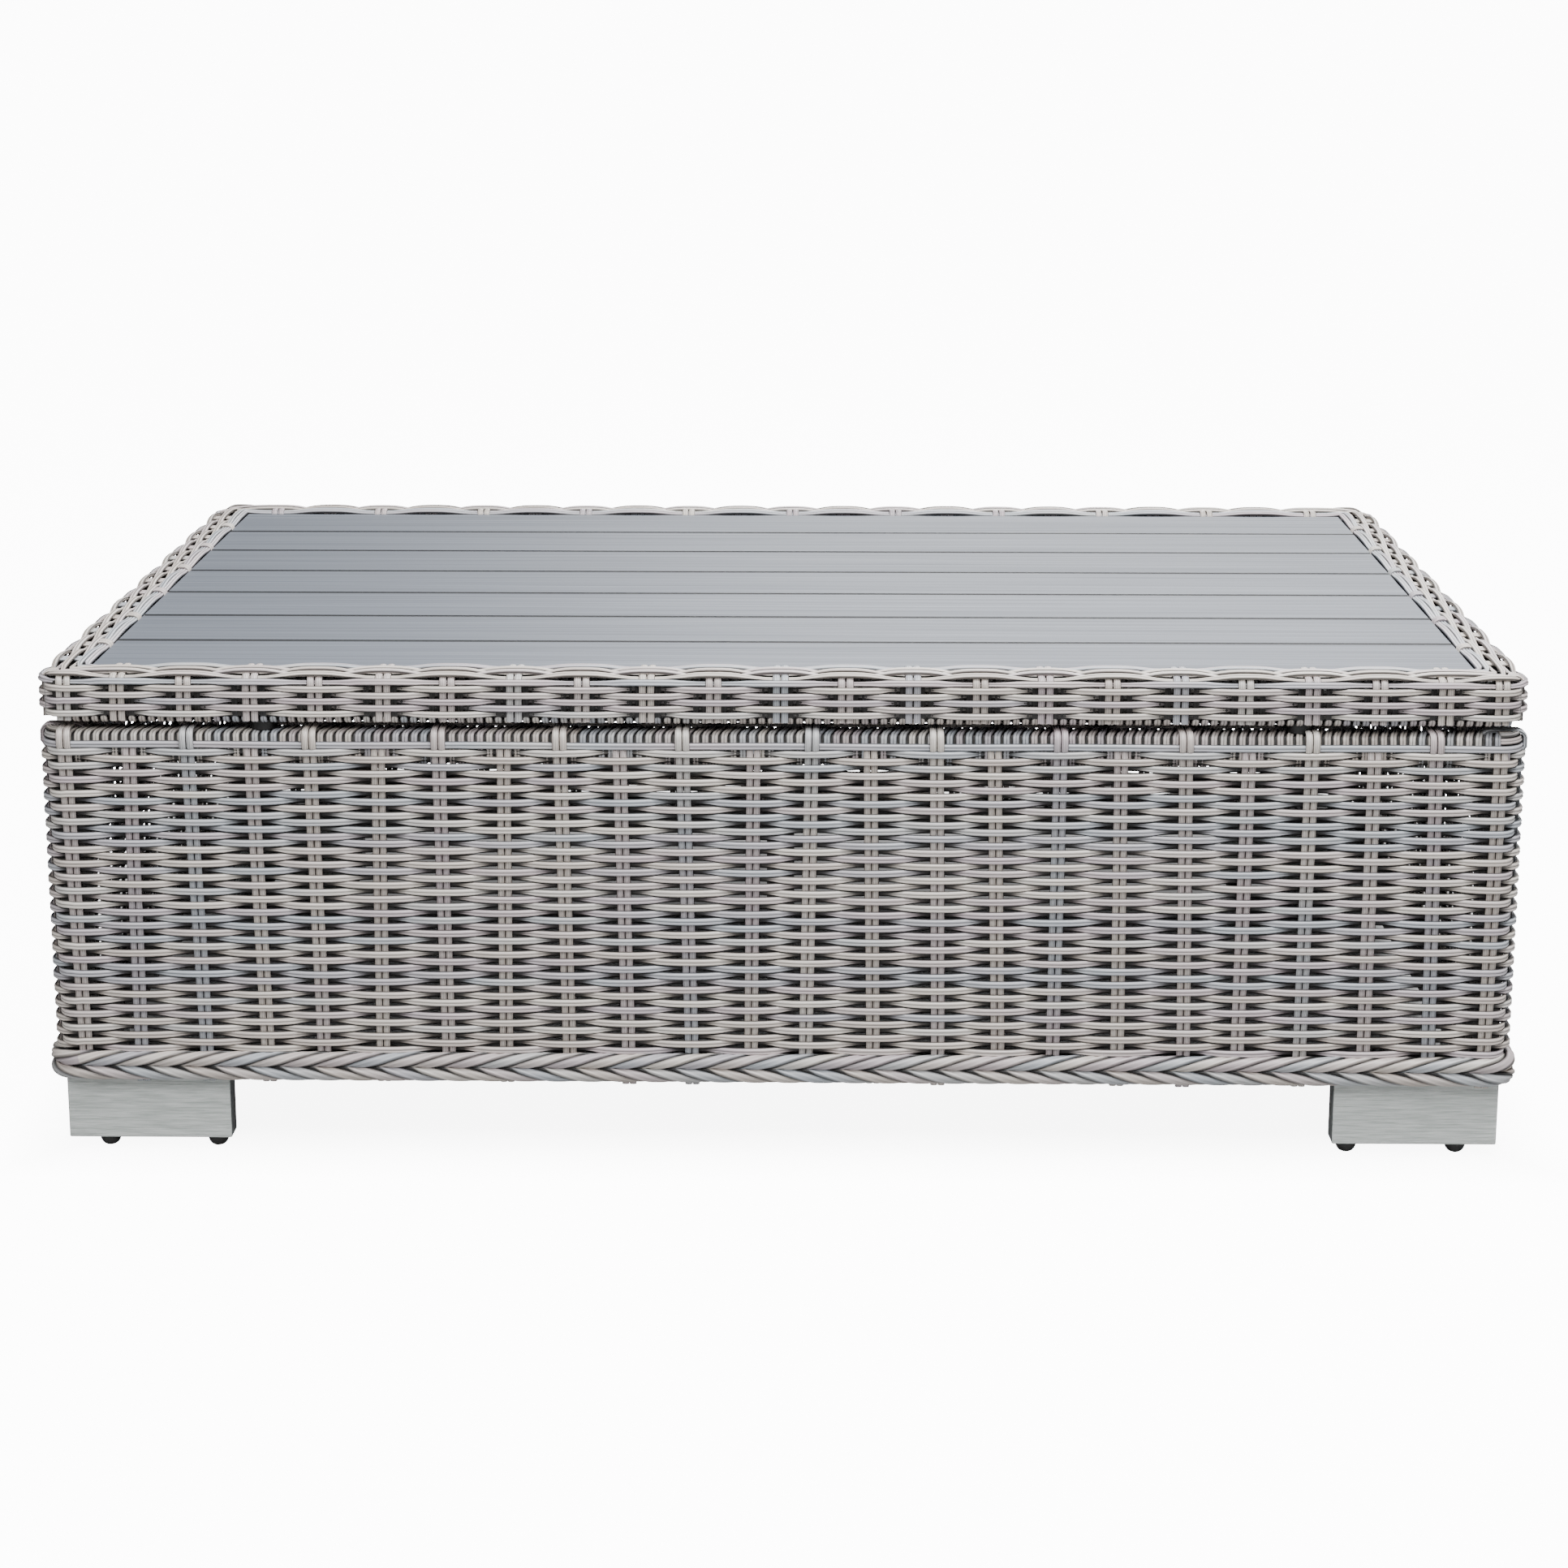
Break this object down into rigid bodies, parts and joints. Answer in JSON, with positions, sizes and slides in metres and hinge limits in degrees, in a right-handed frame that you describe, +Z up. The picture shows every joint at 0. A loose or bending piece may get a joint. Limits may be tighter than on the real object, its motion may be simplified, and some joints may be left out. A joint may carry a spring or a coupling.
{
  "type": "coffee table",
  "caption": "Low rectangular outdoor coffee table with a woven box base, slatted top in a woven rim and short corner feet.",
  "frame": {"origin": "centre of the footprint, on the floor", "axes": "+X along the long side, +Z up; the front faces -Y"},
  "size_m": [1.098, 0.708, 0.3712],
  "materials": {
    "wicker": "woven resin strand, mixed warm and cool greys, satin",
    "slat_board": "blue-grey faux wood with fine lengthwise grain, matte",
    "foot_board": "pale grey faux wood, brushed, matte",
    "frame_tube": "powder coated",
    "fastener_steel": "zinc plated",
    "black_plastic": "moulded, satin"
  },
  "bodies": {
    "root": {"top_tube_front": "frame_tube", "top_tube_back": "frame_tube", "top_tube_left": "frame_tube", "top_tube_right": "frame_tube", "top_weave_front": "wicker", "top_weave_back": "wicker", "top_weave_left": "wicker", "top_weave_right": "wicker", "slat_1": "slat_board", "slat_2": "slat_board", "slat_3": "slat_board", "slat_4": "slat_board", "slat_5": "slat_board", "slat_6": "slat_board", "slat_7": "slat_board", "batten_left": "frame_tube", "batten_middle": "frame_tube", "batten_right": "frame_tube", "slat_screws": "fastener_steel", "top_spacers": "black_plastic", "top_bolts": "fastener_steel", "top_washers": "fastener_steel", "top_insert_nuts": "fastener_steel", "rail_top_front": "frame_tube", "rail_top_back": "frame_tube", "rail_top_left": "frame_tube", "rail_top_right": "frame_tube", "rail_bottom_front": "frame_tube", "rail_bottom_back": "frame_tube", "rail_bottom_left": "frame_tube", "rail_bottom_right": "frame_tube", "post_front_left": "frame_tube", "post_front_middle": "frame_tube", "post_front_right": "frame_tube", "post_back_left": "frame_tube", "post_back_middle": "frame_tube", "post_back_right": "frame_tube", "rail_wrap_front": "wicker", "rail_wrap_back": "wicker", "rail_wrap_left": "wicker", "rail_wrap_right": "wicker", "weave_front": "wicker", "weave_back": "wicker", "weave_left": "wicker", "weave_right": "wicker", "braid_front": "wicker", "braid_back": "wicker", "braid_left": "wicker", "braid_right": "wicker", "foot_front_left": "foot_board", "foot_front_right": "foot_board", "foot_back_left": "foot_board", "foot_back_right": "foot_board", "foot_side_front_left": "foot_board", "foot_side_front_right": "foot_board", "foot_side_back_left": "foot_board", "foot_side_back_right": "foot_board", "foot_screws": "fastener_steel", "glides": "black_plastic"}
  },
  "joints": []
}
